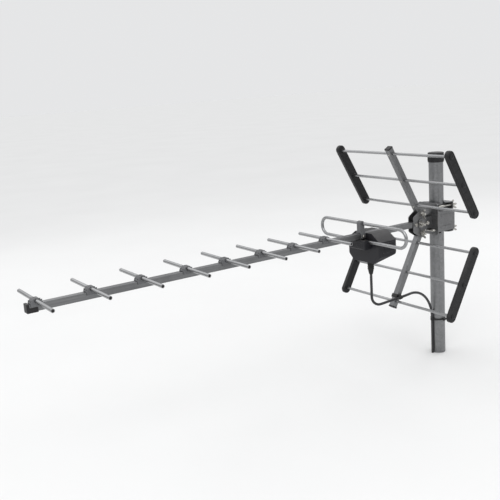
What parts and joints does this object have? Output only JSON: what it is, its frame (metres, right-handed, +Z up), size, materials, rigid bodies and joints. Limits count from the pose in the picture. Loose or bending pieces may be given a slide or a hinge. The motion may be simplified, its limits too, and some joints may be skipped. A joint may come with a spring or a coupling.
{
  "type": "yagi antenna",
  "caption": "Corner-reflector UHF yagi aerial on a mast stub: square boom with directors, folded dipole over a black feed box, and folding reflector panels on a tilting clamp.",
  "frame": {"origin": "centre of the mast stub's open foot", "axes": "+Z up the mast, -Y the way the antenna looks along its boom, +X to the left of that"},
  "size_m": [0.395, 1.1594, 0.5812],
  "materials": {
    "mast_steel": "galvanised steel tube, dull",
    "black_plastic": "moulded black plastic, matt",
    "cable_jacket": "smooth black cable sheath",
    "clamp_steel": "zinc plated pressed steel",
    "zinc_steel": "bright zinc plated fasteners",
    "boom_aluminium": "drawn aluminium, satin",
    "element_aluminium": "drawn aluminium, brighter",
    "grey_plastic": "moulded dark grey plastic",
    "box_plastic": "moulded black weatherproof plastic, fine grain",
    "strip_plastic": "moulded black plastic, matt",
    "circuit_board": "green glass fibre board",
    "ferrite": "sintered ferrite, matt",
    "brass": "plain brass",
    "nickel": "nickel plated brass",
    "boot_rubber": "soft black rubber"
  },
  "bodies": {
    "mast": {"mast_tube": "mast_steel", "mast_cap": "black_plastic", "mast_cable_tie": "black_plastic", "coax_downlead": "cable_jacket"},
    "clamp": {"clamp_bracket": "clamp_steel", "clamp_saddles": "clamp_steel", "clamp_jaws": "clamp_steel", "clamp_u_bolts": "zinc_steel", "clamp_washers": "zinc_steel", "tilt_pivot_bolt": "zinc_steel", "tilt_pivot_nut": "zinc_steel"},
    "clamp_wing_nut_1": {"clamp_wing_nut_1": "zinc_steel"},
    "clamp_wing_nut_2": {"clamp_wing_nut_2": "zinc_steel"},
    "clamp_wing_nut_3": {"clamp_wing_nut_3": "zinc_steel"},
    "clamp_wing_nut_4": {"clamp_wing_nut_4": "zinc_steel"},
    "boom": {"boom_tube": "boom_aluminium", "boom_tip_cap": "black_plastic", "boom_rear_cap": "black_plastic", "hinge_plates": "clamp_steel", "boom_fasteners": "zinc_steel", "tilt_lock_bolt": "zinc_steel", "tilt_lock_washer": "zinc_steel", "arm_pivot_bolts": "zinc_steel", "director_1": "element_aluminium", "director_2": "element_aluminium", "director_3": "element_aluminium", "director_4": "element_aluminium", "director_5": "element_aluminium", "director_6": "element_aluminium", "director_7": "element_aluminium", "director_8": "element_aluminium", "director_holders": "grey_plastic", "dipole_saddle": "grey_plastic", "dipole_loop": "element_aluminium", "dipole_fasteners": "zinc_steel", "lid_hinge_pins": "zinc_steel", "dipole_box": "box_plastic", "feed_cover": "box_plastic", "balun_board": "circuit_board", "balun_core": "ferrite", "terminal_screws": "brass", "terminal_straps": "brass", "f_socket": "nickel", "f_plug": "nickel", "weather_boot": "boot_rubber", "coax_drop": "cable_jacket", "coax_loop": "cable_jacket"},
    "tilt_wing_nut": {"tilt_wing_nut": "zinc_steel"},
    "lid": {"dipole_box_lid": "box_plastic"},
    "upper_reflector": {"upper_arm": "boom_aluminium", "upper_arm_cap": "black_plastic", "upper_rods": "element_aluminium", "upper_end_strips": "strip_plastic"},
    "upper_wing_nut": {"upper_wing_nut": "zinc_steel"},
    "lower_reflector": {"lower_arm": "boom_aluminium", "lower_arm_cap": "black_plastic", "lower_rods": "element_aluminium", "lower_end_strips": "strip_plastic", "cable_clip": "black_plastic"},
    "lower_wing_nut": {"lower_wing_nut": "zinc_steel"}
  },
  "joints": [
    {"name": "azimuth", "type": "hinge", "parent": "mast", "child": "clamp", "pos_m": [0, 0, 0.37], "axis": [0, 0, 1], "range_deg": [-90, 90], "deforming": ["coax_loop"]},
    {"name": "tilt", "type": "hinge", "parent": "clamp", "child": "boom", "pos_m": [0, -0.05, 0.37], "axis": [-1, 0, 0], "range_deg": [-10, 15], "deforming": ["coax_loop"]},
    {"name": "upper_fold", "type": "hinge", "parent": "boom", "child": "upper_reflector", "pos_m": [0, -0.066, 0.396], "axis": [1, 0, 0], "range_deg": [0, 54]},
    {"name": "lower_fold", "type": "hinge", "parent": "boom", "child": "lower_reflector", "pos_m": [0, -0.066, 0.344], "axis": [-1, 0, 0], "range_deg": [0, 12], "deforming": ["coax_drop", "coax_loop"]},
    {"name": "lid_swing", "type": "hinge", "parent": "boom", "child": "lid", "pos_m": [0, -0.2018, 0.3225], "axis": [-1, 0, 0], "range_deg": [0, 100]},
    {"name": "clamp_wing_nut_1_spin", "type": "hinge", "parent": "clamp", "child": "clamp_wing_nut_1", "pos_m": [-0.024, 0.04, 0.408], "axis": [0, 1, 0], "continuous": true},
    {"name": "clamp_wing_nut_2_spin", "type": "hinge", "parent": "clamp", "child": "clamp_wing_nut_2", "pos_m": [0.024, 0.04, 0.408], "axis": [0, 1, 0], "continuous": true},
    {"name": "clamp_wing_nut_3_spin", "type": "hinge", "parent": "clamp", "child": "clamp_wing_nut_3", "pos_m": [-0.024, 0.04, 0.348], "axis": [0, 1, 0], "continuous": true},
    {"name": "clamp_wing_nut_4_spin", "type": "hinge", "parent": "clamp", "child": "clamp_wing_nut_4", "pos_m": [0.024, 0.04, 0.348], "axis": [0, 1, 0], "continuous": true},
    {"name": "tilt_wing_nut_spin", "type": "hinge", "parent": "boom", "child": "tilt_wing_nut", "pos_m": [0.016, -0.072, 0.37], "axis": [1, 0, 0], "continuous": true},
    {"name": "upper_wing_nut_spin", "type": "hinge", "parent": "boom", "child": "upper_wing_nut", "pos_m": [0.014, -0.066, 0.396], "axis": [1, 0, 0], "continuous": true},
    {"name": "lower_wing_nut_spin", "type": "hinge", "parent": "boom", "child": "lower_wing_nut", "pos_m": [0.014, -0.066, 0.344], "axis": [1, 0, 0], "continuous": true}
  ]
}
